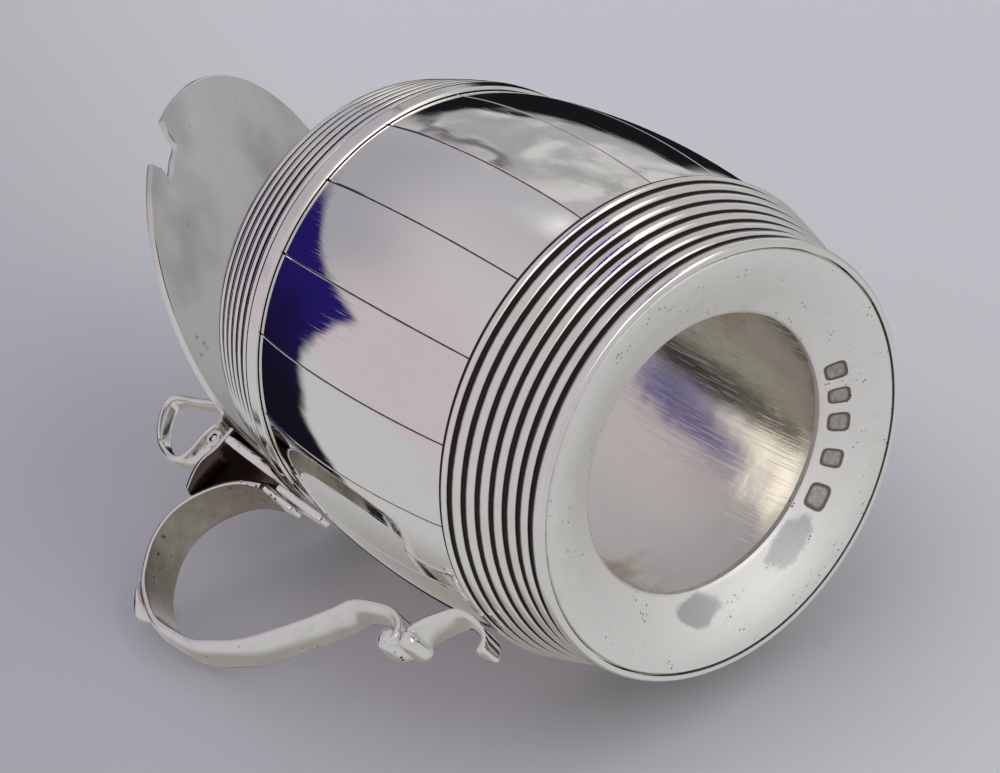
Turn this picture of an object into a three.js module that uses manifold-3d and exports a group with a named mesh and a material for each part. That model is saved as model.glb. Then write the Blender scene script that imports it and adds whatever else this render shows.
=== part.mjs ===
// A silver mustard pot shaped like a small barrel, with its hinged lid open and its glass liner beside it.
// Millimetres, +Z up the barrel's axis from the standing rim to the mouth, and the handle on +X. The barrel
// is drawn round the Z axis, and the pair is then set with the middle of its footprint at the origin.
import * as THREE from 'three';
import { mergeVertices } from 'three/addons/utils/BufferGeometryUtils.js';
import Module from 'manifold-3d';

const wasm = await Module();
wasm.setup();

// Barrel wall
const barrelHeight = 68.6;
const footRadius = 27.2;
const bellyRadius = 32.75;
const mouthRadius = 27.75;
const wallThickness = 0.8;
const staveCount = 18;
const staveLineWidth = 0.5;
const staveLineDepth = 0.2;

// Base plate, dished up to a round hole
const basePlateThickness = 0.85;
const baseHoleRadius = 18.1;
const baseDishRise = 3.5;
const baseSeam = 0.1;

// Bands soldered round the barrel
const lowerBandHeight = 14.9;
const upperBandHeight = 11.2;
const upperReedCount = 6;
const reedCrest = 1;
const reedGroove = 0.55;
const filletHeight = 2.4;
const filletThickness = 0.8;

// Handle strap, its bud, its upper tongue and the plate under it
const handleReach = 23.85;
const archAboveMouth = 2.2;
const archHeight = 10.8;
const handleFoot = 23.9;
const strapHalfWidth = 3.3;
const strapEndHalfWidth = 2.65;
const strapThickness = 1.6;
const spurReach = 2.3;
const spurHalfWidth = 2.7;
const spurPlace = 24.1;
const spurLength = 4.0;
const dropLength = 4.8;
const dropThickness = 0.81;
const dropTipHalfWidth = 0.6;
const jointPlateHeight = 8;
const jointPlateHalfWidth = 3.6;
const jointPlateThickness = 1.1;

// Lower scroll of the handle
const lowerScrollHeight = 12.2;
const lowerScrollThickness = 1.2;
const lowerScrollHalfWidth = 2.65;
const lowerScrollEndHalfWidth = 1.5;
const scrollJointGap = 0.8;

// Hinge
const hingeHalfWidth = 6.4;
const lidKnuckleHalfWidth = 2.1;
const knuckleRadius = 1.2;
const pinRadius = 0.5;
const pinAboveMouth = 1.8;
const pinOutsideLid = 3;
const blockPlateThickness = 1.1;
const blockWebHalfWidth = 1.6;
const archMeeting = 12.4;
const flangeLip = 0.4;

// Lid, seen open in its resting place
const lidRadius = 29.3;
const lidThickness = 0.95;
const lidOpenDegrees = 41.6;
const notchDepth = 4;
const notchStartDegrees = 78.6;
const notchEndDegrees = 94.5;
const lidStrapLength = 10.6;
const lidStrapThickness = 1;
const lidStrapEndHalfWidth = 3.2;
const loopHeight = 14.5;
const loopHalfWidth = 1.4;
const loopThickness = 1;

// Glass liner
const linerHeight = 62;
const linerRimRadius = 26;
const linerFootRadius = 24.6;
const linerWall = 1.8;
const linerBase = 4;
const linerFootBevel = 1.5;
const linerGap = 27;

// Clearances between soldered, seated and turning pieces
const bandClearance = 0.12;
const seatClearance = 0.2;
const knuckleClearance = 0.15;
const overrun = 2;

// Fineness
const stepsPerStave = 5;
const bandSegments = 48;
const plateSegments = 60;
const strapSteps = 64;
const smallSteps = 16;
const roundSteps = 6;
const knuckleSteps = 16;
const stepsAcross = 4;

const silver = { color: 0xc9c6c2, metalness: 1, roughness: 0.14 };
const satinSilver = { color: 0xb9b6b2, metalness: 1, roughness: 0.34 };
const cobaltGlass = { color: 0x0a0a9a, metalness: 0, roughness: 0.04 };

const sideways = new THREE.Vector3(0, 1, 0);

// The wall's outside: share of the height, and share of the swell from the foot or the mouth to the belly
const wallShares = [
  [0, 0], [0.073, 0.08], [0.142, 0.38], [0.226, 0.685], [0.321, 0.862], [0.416, 0.966], [0.51, 1],
  [0.605, 0.964], [0.7, 0.854], [0.7945, 0.65], [0.889, 0.4], [1, 0],
];
const bellyHeightShare = 0.51;
const wallFoot = basePlateThickness + seatClearance;

const wallStations = wallShares.map(([height, swell]) => {
  const end = height < bellyHeightShare ? footRadius : mouthRadius;
  return [end + (bellyRadius - end) * swell, Math.max(height * barrelHeight, wallFoot)];
});

// Radius of the wall's outside at a height, straight between its stations
function wallRadius(height) {
  const above = wallStations.findIndex(([, z]) => z >= height);
  if (above <= 0) return above === 0 ? wallStations[0][0] : mouthRadius;
  const [lowRadius, low] = wallStations[above - 1];
  const [highRadius, high] = wallStations[above];
  return lowRadius + (highRadius - lowRadius) * (height - low) / (high - low);
}

function stationsBetween(low, high) {
  const inner = wallStations.map(([, z]) => z).filter((z) => z > low && z < high);
  return [low, ...inner, high];
}

// A solid of revolution; its profile of [radius, height] runs up outside and down inside
function ring(profile, segments) {
  const closed = profile[0][0] > 0 ? [...profile, profile[0]] : profile;
  const points = closed.map(([radius, height]) => new THREE.Vector2(radius, height));
  return new THREE.LatheGeometry(points, segments).rotateX(Math.PI / 2);
}

// A slab that lies across the handle's plane, from an outline of [x, z]
function slab(outline, halfWidth, hole) {
  const shape = new THREE.Shape(outline.map(([x, z]) => new THREE.Vector2(x, z)));
  if (hole) shape.holes.push(new THREE.Path(hole.map(([x, z]) => new THREE.Vector2(x, z))));
  const geometry = new THREE.ExtrudeGeometry(shape, { depth: 2 * halfWidth, bevelEnabled: false });
  return geometry.rotateX(Math.PI / 2).translate(0, halfWidth, 0);
}

function circle(x, z, radius, steps) {
  return Array.from({ length: steps }, (_, step) => {
    const angle = 2 * Math.PI * step / steps;
    return [x + radius * Math.cos(angle), z + radius * Math.sin(angle)];
  });
}

// A path in the handle's plane, with its inner face on the path and its thickness to the path's left
function planePath(points) {
  return new THREE.CatmullRomCurve3(points.map(([x, z]) => new THREE.Vector3(x, 0, z)), false, 'centripetal');
}

function leftOf(path, share, distance) {
  const left = path.getTangentAt(share).cross(sideways);
  return path.getPointAt(share).addScaledVector(left, distance);
}

// A strap: a unit bar bent along a path, flat inside and crowned outside
function strap(path, halfWidthAt, thicknessAt, steps, crownShare = 0) {
  const bar = new THREE.BoxGeometry(1, 1, 1, stepsAcross, 1, steps).translate(0, 1 / 2, 1 / 2);
  const places = bar.attributes.position;
  for (let index = 0; index < places.count; index += 1) {
    const share = THREE.MathUtils.clamp(places.getZ(index), 0, 1);
    const across = 2 * places.getX(index);
    const rise = places.getY(index) * thicknessAt(share) * (1 - crownShare * across * across);
    const place = leftOf(path, share, rise).addScaledVector(sideways, across * halfWidthAt(share));
    places.setXYZ(index, place.x, place.y, place.z);
  }
  return bar;
}

const steady = (value) => () => value;
const between = (start, end) => (share) => start + (end - start) * share;

function solid(geometry) {
  const bare = geometry.clone();
  bare.deleteAttribute('normal');
  bare.deleteAttribute('uv');
  const merged = mergeVertices(bare);
  return new wasm.Manifold(new wasm.Mesh({
    numProp: 3,
    vertProperties: new Float32Array(merged.attributes.position.array),
    triVerts: new Uint32Array(merged.index.array),
  }));
}

function fromSolid(manifold) {
  const mesh = manifold.getMesh();
  const geometry = new THREE.BufferGeometry();
  geometry.setAttribute('position', new THREE.BufferAttribute(mesh.vertProperties, 3));
  geometry.setIndex(new THREE.BufferAttribute(mesh.triVerts, 1));
  return geometry;
}

function piece(name, geometry, finish) {
  const mesh = new THREE.Mesh(geometry, new THREE.MeshStandardMaterial(finish));
  mesh.name = name;
  return mesh;
}

// Barrel wall, with each stave's edge sunk as a fine engraved line on the belly
function barrelBody() {
  const inside = wallStations.filter((_, index) => index % 2 === 0 || index === wallStations.length - 1)
    .map(([radius, height]) => [radius - wallThickness, height]).reverse();
  const profile = [...wallStations, ...inside];
  const columns = staveCount * stepsPerStave;
  const geometry = ring(profile, columns);
  const places = geometry.attributes.position;
  const stave = 2 * Math.PI / staveCount;
  const lineShare = staveLineWidth / 2 / bellyRadius / stave;
  const stepShares = [0, lineShare, 1 / 3, 2 / 3, 1 - lineShare];
  for (let index = 0; index < places.count; index += 1) {
    const row = index % (profile.length + 1) % profile.length;
    const column = Math.floor(index / (profile.length + 1)) % columns;
    const [radius, height] = profile[row];
    const onBelly = row < wallStations.length && height > lowerBandHeight && height < filletFoot;
    const engraved = onBelly && column % stepsPerStave === 0;
    const placed = radius - (engraved ? staveLineDepth : 0);
    const angle = (Math.floor(column / stepsPerStave) + 1 / 2 + stepShares[column % stepsPerStave]) * stave;
    places.setXYZ(index, placed * Math.cos(angle), placed * Math.sin(angle), height);
  }
  return geometry;
}

// A hoop of reeds that follows the wall between two heights, with a groove at each share of its height
const reedCrestShares = [0.28, 0.72];

function reededBand(low, high, grooveShares) {
  const grooves = grooveShares.map((share) => low + (high - low) * share);
  const outside = grooves.slice(0, -1).flatMap((start, index) => [
    [wallRadius(start) + reedGroove, start],
    ...reedCrestShares.map((share) => {
      const height = start + (grooves[index + 1] - start) * share;
      return [wallRadius(height) + reedCrest, height];
    }),
  ]);
  const inside = stationsBetween(low, high).map((height) => [wallRadius(height) + bandClearance, height]);
  return ring([...outside, [wallRadius(high) + reedGroove, high], ...inside.reverse()], bandSegments);
}

const lowerGrooveShares = [0, 0.15, 0.291, 0.421, 0.534, 0.655, 0.782, 0.913, 1];
const upperGrooveShares = Array.from({ length: upperReedCount + 1 }, (_, reed) => reed / upperReedCount);
const reedsFoot = barrelHeight - upperBandHeight;
const filletFoot = reedsFoot - filletHeight;

function plainFillet() {
  const heights = stationsBetween(filletFoot, reedsFoot - bandClearance);
  const outside = heights.map((height) => [wallRadius(height) + filletThickness, height]);
  const inside = heights.map((height) => [wallRadius(height) + bandClearance, height]);
  return ring([...outside, ...inside.reverse()], bandSegments);
}

// Base plate: shares of the way from its rim in to the hole, and of the dish's rise
const dishShares = [[0, 0], [0.17, 0.04], [0.45, 0.26], [0.73, 0.63], [1, 1]];

function basePlate() {
  const rim = footRadius - baseSeam;
  const under = dishShares.map(([inward, rise]) => [
    rim - (rim - baseHoleRadius) * inward, baseDishRise * rise,
  ]);
  const over = under.map(([radius, height]) => [radius, height + basePlateThickness]);
  return ring([...under.reverse(), ...over], plateSegments);
}

// Handle. Its path is the strap's inner face, from the tongue's top end over the arch and down to the hook:
// shares of the reach out from the fillet, and of the height from the foot to the top
const scrollShares = [
  [0.101, 0.77], [0.155, 0.855], [0.247, 0.921], [0.411, 0.983], [0.545, 1], [0.675, 0.985],
  [0.797, 0.945], [0.881, 0.904], [0.954, 0.838], [1, 0.77], [0.994, 0.676], [0.973, 0.601],
  [0.906, 0.527], [0.813, 0.448], [0.662, 0.367], [0.507, 0.294], [0.398, 0.247], [0.302, 0.209],
  [0.235, 0.128], [0.214, 0.064], [0.233, 0.02], [0.277, -0.004], [0.335, -0.012], [0.386, 0], [0.41, 0.022],
];
const hookShare = 0.281;
const [rootReachShare, rootRiseShare] = scrollShares[0];
const handleTop = barrelHeight + archAboveMouth;
const strapRootZ = handleTop - archHeight;

// The plate under the tongue lies on the belly below the fillet and reaches up under the strap
const jointPlateTop = filletFoot + filletHeight;
const jointPlateFoot = jointPlateTop - jointPlateHeight;
const jointPlateBack = Math.max(wallRadius(jointPlateFoot), wallRadius(filletFoot) + filletThickness);
const jointPlateFace = jointPlateBack + seatClearance + jointPlateThickness;

// The strap's root stands clear of that plate and of the hinge bracket behind the lid
const hingeBack = lidRadius + seatClearance;
const strapRootX = Math.max(
  jointPlateFace + seatClearance + dropThickness,
  hingeBack + blockPlateThickness + 2 * seatClearance + strapThickness,
);
const handleRoot = strapRootX - handleReach * rootReachShare;

// The arch keeps its height, and the strap below its root stretches with the barrel
function strapHeight(rise) {
  if (rise > rootRiseShare) return strapRootZ + archHeight * (rise - rootRiseShare) / (1 - rootRiseShare);
  return handleFoot + (strapRootZ - handleFoot) * rise / rootRiseShare;
}

const strapPath = planePath(scrollShares.map(([reach, rise]) => [
  handleRoot + handleReach * reach, strapHeight(rise),
]));
const alongStrap = (length) => length / strapPath.getLength();
const strapCrownShare = 0.45;
const wideUntilShare = 0.35;

function strapHalfWidthAt(share) {
  const narrowing = THREE.MathUtils.smoothstep(share, wideUntilShare, 1);
  return strapHalfWidth + (strapEndHalfWidth - strapHalfWidth) * narrowing;
}

// The pointed tongue goes down from the strap's top end, flat against the joint plate
function upperDrop() {
  const top = strapRootZ - seatClearance;
  const path = planePath([[strapRootX, top - dropLength], [strapRootX, top]]);
  const halfWidth = (share) => dropTipHalfWidth + (strapHalfWidth - dropTipHalfWidth) * Math.sqrt(share);
  return strap(path, halfWidth, steady(dropThickness), smallSteps / 2);
}

function jointPlate() {
  const path = planePath([[jointPlateFace, jointPlateFoot], [jointPlateFace, jointPlateTop]]);
  const halfWidth = (share) => dropTipHalfWidth + (jointPlateHalfWidth - dropTipHalfWidth) * Math.sqrt(share);
  return strap(path, halfWidth, steady(jointPlateThickness), smallSteps / 2);
}

// A small bud that stands on the outside of the arch: shares of its length along the strap, and of its reach
const spurTipShare = 0.9;
const spurShoulderShares = [[0.4, 0.6], [1.12, 0.6]];

function spur() {
  const onStrap = (share, reach) => leftOf(
    strapPath, alongStrap(spurPlace + spurLength * share), strapThickness + seatClearance + spurReach * reach,
  );
  const foot = Array.from({ length: roundSteps }, (_, step) => onStrap(step / (roundSteps - 1), 0));
  const [upper, lower] = spurShoulderShares.map(([share, reach]) => onStrap(share, reach));
  return slab([...foot, lower, onStrap(spurTipShare, 1), upper].map(({ x, z }) => [x, z]), spurHalfWidth);
}

// Lower scroll, on its face towards the barrel: shares of the way from the belly out to the strap's hook,
// and of the scroll's height down from the hook
const lowerScrollShares = [
  [1, 0], [0.72, -0.05], [0.42, -0.16], [0.11, -0.32], [0.03, -0.42], [0, -0.57], [0.05, -0.78],
  [0.14, -0.88], [0.33, -0.97], [0.46, -1],
];
const hookX = handleRoot + handleReach * hookShare;
const lowerScrollTop = handleFoot - scrollJointGap;
const crownZ = lowerScrollTop + lowerScrollHeight * lowerScrollShares[5][1];
const crownX = Math.max(wallRadius(crownZ), wallRadius(lowerBandHeight) + reedCrest) + seatClearance / 2;

function lowerScroll() {
  const path = planePath(lowerScrollShares.map(([reach, drop]) => [
    crownX + (hookX - crownX) * reach, lowerScrollTop + lowerScrollHeight * drop,
  ]));
  return strap(path, between(lowerScrollHalfWidth, lowerScrollEndHalfWidth), steady(lowerScrollThickness),
    2 * smallSteps, strapCrownShare);
}

// Hinge
const pinX = lidRadius + pinOutsideLid;
const pinZ = barrelHeight + pinAboveMouth;

// Bracket behind the lid: a back plate on the band and a flange out to the arch, joined by a web. Shares of
// the flange's reach and rise, of its reach and half width in plan, and of the plate's half width and height
const flangeShares = [[0.15, 0], [0.4, 0.39], [0.62, 0.67], [0.82, 0.87], [1, 1]];
const planShares = [[0.45, 1], [0.75, 0.84], [1, 0.56]];
const shieldShares = [[1, 1], [1, 0.85], [0.52, 0.28], [0.52, 0]];

function hingeBlock() {
  const top = pinZ - knuckleRadius - seatClearance / 2;
  const foot = reedsFoot + seatClearance;
  const arch = Array.from({ length: smallSteps }, (_, step) => leftOf(
    strapPath, alongStrap(archMeeting) * step / (smallSteps - 1), strapThickness + seatClearance,
  )).map(({ x, z }) => [x, z]);
  const [front, archEndZ] = arch.at(-1);
  const flangeRise = archEndZ + flangeLip - top;
  const reachAt = (share) => pinX + (front - pinX) * share;
  const flange = flangeShares.map(([reach, rise]) => [reachAt(reach), top + flangeRise * rise]);
  const body = solid(slab([[hingeBack, foot], [arch[0][0], foot], ...arch, ...[...flange].reverse(),
    [hingeBack, top]], hingeHalfWidth));
  const under = flange.map(([x, z]) => [x, z - blockPlateThickness]);
  const plateFront = arch[0][0] - seatClearance;
  const pocket = solid(slab([[plateFront, foot - overrun], [plateFront, under[0][1]], ...under,
    [front + overrun, under.at(-1)[1]], [front + overrun, foot - overrun]], hingeHalfWidth));
  const away = blockWebHalfWidth + hingeHalfWidth;
  const plan = new THREE.Shape([
    [hingeBack - overrun, -hingeHalfWidth],
    ...planShares.map(([reach, width]) => [reachAt(reach), -hingeHalfWidth * width]),
    ...[...planShares].reverse().map(([reach, width]) => [reachAt(reach), hingeHalfWidth * width]),
    [hingeBack - overrun, hingeHalfWidth],
  ].map(([x, y]) => new THREE.Vector2(x, y)));
  const prism = solid(new THREE.ExtrudeGeometry(plan, { depth: barrelHeight, bevelEnabled: false })
    .translate(0, 0, barrelHeight / 2));
  const sides = shieldShares.map(([width, rise]) => [hingeHalfWidth * width, foot + (top - foot) * rise]);
  const shield = new THREE.Shape([
    [hingeHalfWidth, top + overrun + flangeRise], ...sides,
    ...[...sides].reverse().map(([y, z]) => [-y, z]), [-hingeHalfWidth, top + overrun + flangeRise],
  ].map(([y, z]) => new THREE.Vector2(y, z)));
  const upright = solid(new THREE.ExtrudeGeometry(shield, { depth: 2 * pinX, bevelEnabled: false })
    .rotateX(Math.PI / 2).rotateZ(Math.PI / 2));
  const bandOutside = [0, 1 / 3, 2 / 3, 1].map((share) => {
    const height = reedsFoot + upperBandHeight * share;
    return [Math.max(wallRadius(height) + reedCrest, lidRadius) + seatClearance, height];
  });
  const envelope = solid(ring([[0, reedsFoot - overrun], [bandOutside[0][0], reedsFoot - overrun],
    ...bandOutside, [bandOutside.at(-1)[0], top + overrun], [0, top + overrun]], bandSegments));
  return fromSolid(body.subtract(pocket.translate([0, away, 0])).subtract(pocket.translate([0, -away, 0]))
    .intersect(prism).intersect(upright).subtract(envelope));
}

// A knuckle is a short tube round the pin
function knuckle(halfWidth, centreY) {
  const outline = circle(pinX, pinZ, knuckleRadius, knuckleSteps);
  const bore = circle(pinX, pinZ, pinRadius + knuckleClearance, knuckleSteps);
  return slab(outline, halfWidth, bore).translate(0, centreY, 0);
}

const sideKnuckleHalfWidth = (hingeHalfWidth - lidKnuckleHalfWidth - knuckleClearance) / 2;
const sideKnuckleY = hingeHalfWidth - sideKnuckleHalfWidth;

function hingePin() {
  return slab(circle(pinX, pinZ, pinRadius, knuckleSteps), hingeHalfWidth);
}

// The lid's pieces are drawn closed, with the pin at the origin and the lid along -X
const lidUnderside = seatClearance - pinAboveMouth;
const lidTop = lidUnderside + lidThickness;

// Corners of the spoon notch: share of its width round the rim, and of its depth
const notchShares = [[0.1, 0.4], [0.15, 0.92], [0.48, 1], [0.99, 0.95], [0.96, 0.35]];

function lidPlate() {
  const radians = THREE.MathUtils.degToRad;
  const onLid = (degrees, radius) => new THREE.Vector2(
    -radius * Math.cos(radians(degrees)), radius * Math.sin(radians(degrees)),
  );
  const width = notchEndDegrees - notchStartDegrees;
  const rim = Array.from({ length: plateSegments }, (_, step) => notchEndDegrees
    + (360 - width) * step / (plateSegments - 1)).map((degrees) => onLid(degrees, lidRadius));
  const notch = notchShares.map(([around, depth]) => onLid(
    notchStartDegrees + width * around, lidRadius - notchDepth * depth,
  ));
  const outline = new THREE.Shape([...rim, ...notch]);
  return new THREE.ExtrudeGeometry(outline, { depth: lidThickness, bevelEnabled: false })
    .translate(-pinX, 0, lidUnderside);
}

// The strap on the lid runs over it to the knuckle, and widens
const lidStrapStart = knuckleRadius + knuckleClearance;
const lidStrapUnder = lidTop + seatClearance / 2;

function lidStrap() {
  const path = planePath([[-lidStrapStart - lidStrapLength, lidStrapUnder], [-lidStrapStart, lidStrapUnder]]);
  return strap(path, between(lidStrapEndHalfWidth, hingeHalfWidth), steady(lidStrapThickness), roundSteps);
}

// Thumbpiece: a strap bent into a loop, with both ends on the lid's strap. Its path is the outer face:
// shares of the loop's height, away from the pin and up from the strap
const loopShares = [
  [0.46, 0], [0.455, 0.18], [0.405, 0.335], [0.28, 0.445], [0.175, 0.555], [0.15, 0.665], [0.27, 0.83],
  [0.45, 0.955], [0.64, 1], [0.81, 1], [0.955, 0.97], [1.02, 0.917], [1.03, 0.85], [0.975, 0.72],
  [0.885, 0.565], [0.83, 0.415], [0.755, 0.265], [0.695, 0.135], [0.69, 0],
];

function thumbLoop() {
  const foot = lidStrapUnder + lidStrapThickness + seatClearance / 2;
  const path = planePath(loopShares.map(([along, up]) => [-loopHeight * along, foot + loopHeight * up]));
  return strap(path, steady(loopHalfWidth), steady(loopThickness), strapSteps);
}

// Glass liner, a cup with a thick base, standing outside the handle
const linerX = handleRoot + handleReach + linerGap + linerRimRadius;

function liner() {
  const lip = linerWall / 2;
  const insideFoot = linerFootRadius - linerWall;
  return ring([
    [0, 0], [linerFootRadius - linerFootBevel, 0], [linerFootRadius, linerFootBevel],
    [linerRimRadius, linerHeight - lip], [linerRimRadius - lip, linerHeight],
    [linerRimRadius - linerWall, linerHeight - lip], [insideFoot, linerBase + linerFootBevel],
    [insideFoot - linerFootBevel, linerBase], [0, linerBase],
  ], bandSegments);
}

const pot = new THREE.Group();
pot.add(
  piece('barrel_body', barrelBody(), silver),
  piece('lower_reeded_band', reededBand(0, lowerBandHeight, lowerGrooveShares), silver),
  piece('upper_reeded_band', reededBand(reedsFoot, barrelHeight, upperGrooveShares), silver),
  piece('upper_plain_fillet', plainFillet(), silver),
  piece('base_plate', basePlate(), satinSilver),
  piece('body_joint_plate', jointPlate(), silver),
  piece('handle_upper_drop', upperDrop(), silver),
  piece('handle_main_scroll',
    strap(strapPath, strapHalfWidthAt, steady(strapThickness), strapSteps, strapCrownShare), silver),
  piece('handle_spur', spur(), silver),
  piece('handle_lower_scroll', lowerScroll(), silver),
  piece('hinge_block', hingeBlock(), silver),
  piece('hinge_knuckle_left', knuckle(sideKnuckleHalfWidth, -sideKnuckleY), silver),
  piece('hinge_knuckle_right', knuckle(sideKnuckleHalfWidth, sideKnuckleY), silver),
  piece('hinge_pin', hingePin(), silver),
);

const lid = new THREE.Group();
lid.add(
  piece('lid_plate', lidPlate(), satinSilver),
  piece('lid_hinge_strap', lidStrap(), silver),
  piece('hinge_knuckle_lid', knuckle(lidKnuckleHalfWidth, 0).translate(-pinX, 0, -pinZ), silver),
  piece('thumbpiece_loop', thumbLoop(), silver),
);
lid.position.set(pinX, 0, pinZ);
lid.rotation.y = THREE.MathUtils.degToRad(lidOpenDegrees);

const glass = piece('glass_liner', liner(), cobaltGlass);
glass.position.x = linerX;

const mustardPot = new THREE.Group();
mustardPot.add(pot, lid, glass);
mustardPot.position.x = (bellyRadius - linerX - linerRimRadius) / 2;

export default mustardPot;
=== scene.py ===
"""The looks of a silver mustard pot shaped like a small barrel, with its glass liner beside it.

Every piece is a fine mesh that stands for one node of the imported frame. The meshes are drawn in
millimetres round the barrel's axis, with the standing rim at height 0 and the handle on +X, and are
then set in the frame by the place of the barrel's own node.
"""
import math

import bmesh
import bpy
import numpy as np
from mathutils import Matrix, Vector


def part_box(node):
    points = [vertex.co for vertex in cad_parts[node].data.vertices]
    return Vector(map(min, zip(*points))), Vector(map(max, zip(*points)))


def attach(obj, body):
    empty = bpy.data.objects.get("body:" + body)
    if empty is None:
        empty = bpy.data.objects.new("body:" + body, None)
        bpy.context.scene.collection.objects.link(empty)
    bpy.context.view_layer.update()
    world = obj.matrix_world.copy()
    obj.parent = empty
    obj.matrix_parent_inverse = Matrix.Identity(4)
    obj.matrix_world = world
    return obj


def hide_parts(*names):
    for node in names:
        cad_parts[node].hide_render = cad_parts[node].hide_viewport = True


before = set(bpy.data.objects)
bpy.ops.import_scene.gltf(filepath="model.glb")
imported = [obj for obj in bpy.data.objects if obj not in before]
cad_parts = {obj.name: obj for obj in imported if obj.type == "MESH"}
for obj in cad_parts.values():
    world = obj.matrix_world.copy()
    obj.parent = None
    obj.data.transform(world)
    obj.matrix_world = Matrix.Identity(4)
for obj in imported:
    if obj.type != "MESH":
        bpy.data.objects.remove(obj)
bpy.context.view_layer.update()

MM = 0.001

# Driving sizes, in millimetres, as in the part's source
BARREL_HEIGHT = 68.6
FOOT_RADIUS = 27.2
BELLY_RADIUS = 32.75
MOUTH_RADIUS = 27.75
WALL_THICKNESS = 0.8
WALL_FOOT = 1.05
MOUTH_ROUNDING = 0.25
STAVE_COUNT = 18
STAVE_LINE_HALF_WIDTH = 0.17
STAVE_LINE_DEPTH = 0.16
STAVE_LINE_LIP = 1.8
WALL_SHARES = [
    (0, 0), (0.073, 0.08), (0.142, 0.38), (0.226, 0.685), (0.321, 0.862), (0.416, 0.966), (0.51, 1),
    (0.605, 0.964), (0.7, 0.854), (0.7945, 0.65), (0.889, 0.4), (1, 0),
]
BELLY_HEIGHT_SHARE = 0.51

LOWER_BAND_HEIGHT = 14.9
UPPER_BAND_HEIGHT = 11.2
LOWER_GROOVE_SHARES = (0, 0.15, 0.291, 0.421, 0.534, 0.655, 0.782, 0.913, 1)
UPPER_REED_COUNT = 6
REED_CREST = 1.0
REED_GROOVE = 0.6
REED_CREST_SHARE = 0.36
REED_FOOT_SHARE = 0.8
BAND_CLEARANCE = 0.12
BAND_COLUMNS = 288
FILLET_HEIGHT = 2.4
FILLET_THICKNESS = 0.8
REEDS_FOOT = BARREL_HEIGHT - UPPER_BAND_HEIGHT
FILLET_FOOT = REEDS_FOOT - FILLET_HEIGHT

PLATE_RADIUS = 27.1
PLATE_THICKNESS = 0.85
HOLE_RADIUS = 18.1
DISH_RISE = 3.5
DISH_SHARES = [(0, 0), (0.17, 0.07), (0.45, 0.33), (0.73, 0.67), (1, 1)]
HOLE_WAVERS = ((0.12, 1, 0.6), (0.08, 2, 1.1), (0.03, 7, 0))

HANDLE_ROOT = 31.7
HANDLE_REACH = 23.85
HANDLE_FOOT = 23.9
ARCH_TOP = 70.8
STRAP_HALF_WIDTH = 3.3
STRAP_END_HALF_WIDTH = 2.65
STRAP_THICKNESS = 1.6
STRAP_CROWN = 0.45
STRAP_CORNER = 0.3
SCROLL_SHARES = [
    (0.101, 0.77), (0.155, 0.855), (0.247, 0.921), (0.411, 0.983), (0.545, 1), (0.675, 0.985),
    (0.797, 0.945), (0.881, 0.904), (0.954, 0.838), (1, 0.77), (0.994, 0.676), (0.973, 0.601),
    (0.906, 0.527), (0.813, 0.448), (0.662, 0.367), (0.507, 0.294), (0.398, 0.247), (0.302, 0.209),
    (0.235, 0.128), (0.214, 0.064), (0.233, 0.02), (0.277, -0.004), (0.335, -0.012), (0.386, 0),
    (0.41, 0.022),
]
LOWER_SCROLL_SHARES = [
    (1, 0), (0.72, -0.05), (0.42, -0.16), (0.11, -0.32), (0.03, -0.42), (0, -0.57), (0.05, -0.78),
    (0.14, -0.88), (0.33, -0.97), (0.46, -1),
]
LOWER_SCROLL_CROWN_X = 31.9
LOWER_SCROLL_HOOK_X = 38.4
LOWER_SCROLL_TOP = 23.1
LOWER_SCROLL_HEIGHT = 12.2
LOWER_SCROLL_HALF_WIDTH, LOWER_SCROLL_FOOT_HALF_WIDTH = 2.65, 1.7
LOWER_SCROLL_THICKNESS = 1.2
# The rolled ends: x, z and radius
HOOK_BULB = (40.2, 24.95, 1.65)
LOWER_BULB = (38.8, 22.2, 1.4)
BULB_OVERHANG = 0.1
SPUR_START, SPUR_END = 0.292, 0.362
SPUR_HALF_WIDTH = 2.7
SPUR_ROOT_THICKNESS, SPUR_SWELL = 0.35, 2.0
LEAF_TIP_HALF_WIDTH = 0.6
JOINT_LEAF = {"face_x": 33.1, "foot": 49.4, "top": 57.4, "half_width": 3.6, "thickness": 1.1}
HANDLE_DROP = {"face_x": 34.1, "foot": 55.0, "top": 59.8, "half_width": 3.3, "thickness": 0.81}

PIN_X = 32.3
PIN_Z = 70.4
PIN_RADIUS = 0.5
KNUCKLE_RADIUS = 1.2
HINGE_HALF_WIDTH = 6.4
LID_KNUCKLE_HALF_WIDTH = 2.1
KNUCKLE_GAP = 0.15
KNUCKLE_EDGE = 0.12
FLANGE_PATH = [
    (29.65, 68.0), (31.6, 68.0), (33.6, 68.1), (35.5, 69.1), (37.4, 69.85), (39.0, 70.3), (40.3, 70.65),
]
FLANGE_HALF_WIDTHS = [(0, 6.4), (0.45, 6.4), (0.62, 6.0), (0.75, 5.3), (0.9, 4.3), (1, 3.6)]
FLANGE_THICKNESS = 1.08
HINGE_PLATE_X = 32.1
HINGE_PLATE_FOOT, HINGE_PLATE_TOP = 57.65, 69.0
HINGE_PLATE_HALF_WIDTHS = [(0, 3.3), (0.28, 3.4), (0.6, 4.9), (0.85, 6.3), (1, 6.4)]
HINGE_PLATE_CLEARANCE = 0.22
HINGE_PLATE_THICKNESS = 1.5
WEB_X = 32.0
WEB_TOP = 68.2
WEB_HALF_WIDTH = 1.6
LID_RADIUS = 29.3
LID_UNDERSIDE = -1.6
LID_THICKNESS = 0.95
LID_OPEN = math.radians(41.6)
LID_EDGE_LEVELS = [(0.2, 0), (0.06, 0.06), (0, 0.2)]
LID_STRAP_START, LID_STRAP_LENGTH = -1.35, 10.6
LID_STRAP_THICKNESS = 1.0
NOTCH_DEPTH = 4
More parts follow.
